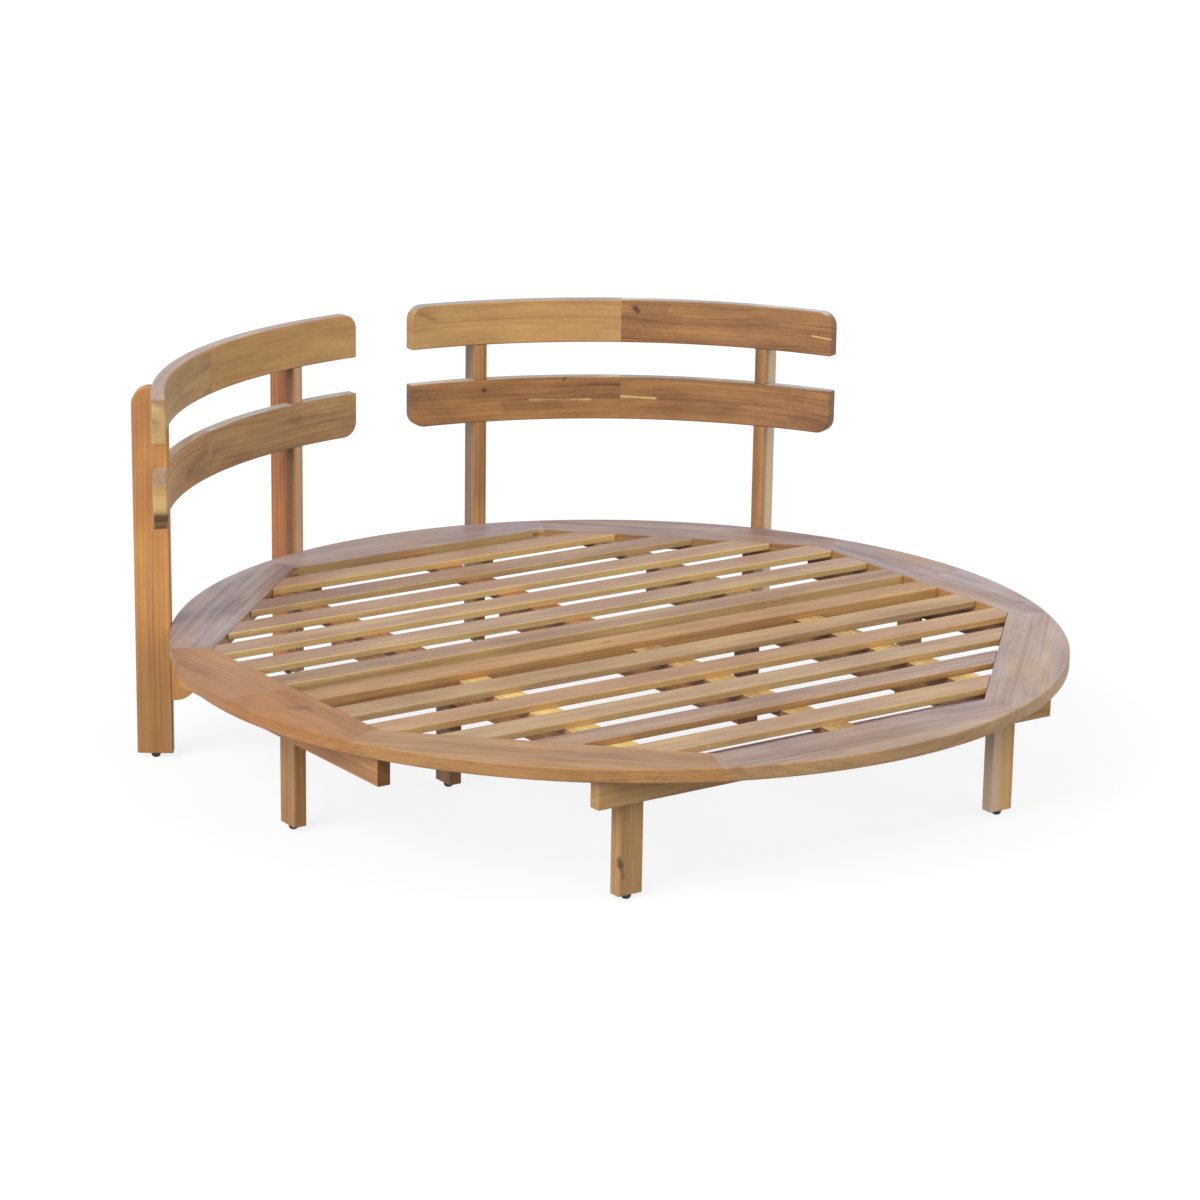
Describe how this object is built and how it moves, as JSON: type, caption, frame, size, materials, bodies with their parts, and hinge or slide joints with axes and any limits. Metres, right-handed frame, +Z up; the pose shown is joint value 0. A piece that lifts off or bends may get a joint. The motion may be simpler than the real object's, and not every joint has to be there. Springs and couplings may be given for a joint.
{
  "type": "round daybed",
  "caption": "Round slatted daybed in hardwood with a mitred octagonal ring, low plank legs, and two curved two-rail backrests on tall posts along the back edge.",
  "frame": {"origin": "on the floor under the middle of the whole bed; the centre of the deck lies 23 mm in front of it", "axes": "+Z up, -Y to the front of the bed, +X to the right of someone who stands in front of it"},
  "size_m": [2, 2.0466, 0.868],
  "materials": {
    "ring_wood": "oiled satin",
    "slat_wood": "oiled satin",
    "batten_wood": "oiled satin",
    "rail_wood": "oiled satin",
    "post_wood": "oiled satin",
    "frame_wood": "oiled satin",
    "steel": "zinc-plated",
    "glide_plastic": "matte"
  },
  "bodies": {
    "root": {"apron": "frame_wood", "batten_front_left": "batten_wood", "batten_front_middle": "batten_wood", "batten_front_right": "batten_wood", "batten_rear_left": "batten_wood", "batten_rear_middle": "batten_wood", "batten_rear_right": "batten_wood", "corbel_left_inner": "post_wood", "corbel_left_outer": "post_wood", "corbel_right_inner": "post_wood", "corbel_right_outer": "post_wood", "foot_glides": "glide_plastic", "front_leg_left": "post_wood", "front_leg_right": "post_wood", "inner_leg_left": "post_wood", "inner_leg_right": "post_wood", "lower_rail_left_inner": "rail_wood", "lower_rail_left_outer": "rail_wood", "lower_rail_right_inner": "rail_wood", "lower_rail_right_outer": "rail_wood", "middle_joist": "frame_wood", "post_bolts": "steel", "post_left_inner": "post_wood", "post_left_outer": "post_wood", "post_right_inner": "post_wood", "post_right_outer": "post_wood", "quarter_joist_left": "frame_wood", "quarter_joist_right": "frame_wood", "ring_board_front": "ring_wood", "ring_board_front_left": "ring_wood", "ring_board_front_right": "ring_wood", "ring_board_left_front": "ring_wood", "ring_board_left_rear": "ring_wood", "ring_board_rear": "ring_wood", "ring_board_rear_left": "ring_wood", "ring_board_rear_right": "ring_wood", "ring_board_right_front": "ring_wood", "ring_board_right_rear": "ring_wood", "side_beam_left": "frame_wood", "side_beam_right": "frame_wood", "side_leg_left": "post_wood", "side_leg_right": "post_wood", "slat_front_1": "slat_wood", "slat_front_2": "slat_wood", "slat_front_3": "slat_wood", "slat_front_4": "slat_wood", "slat_front_5": "slat_wood", "slat_rear_1": "slat_wood", "slat_rear_2": "slat_wood", "slat_rear_3": "slat_wood", "slat_rear_4": "slat_wood", "slat_rear_5": "slat_wood", "thick_board_front": "slat_wood", "thick_board_rear": "slat_wood", "upper_rail_left_inner": "rail_wood", "upper_rail_left_outer": "rail_wood", "upper_rail_right_inner": "rail_wood", "upper_rail_right_outer": "rail_wood"}
  },
  "joints": []
}
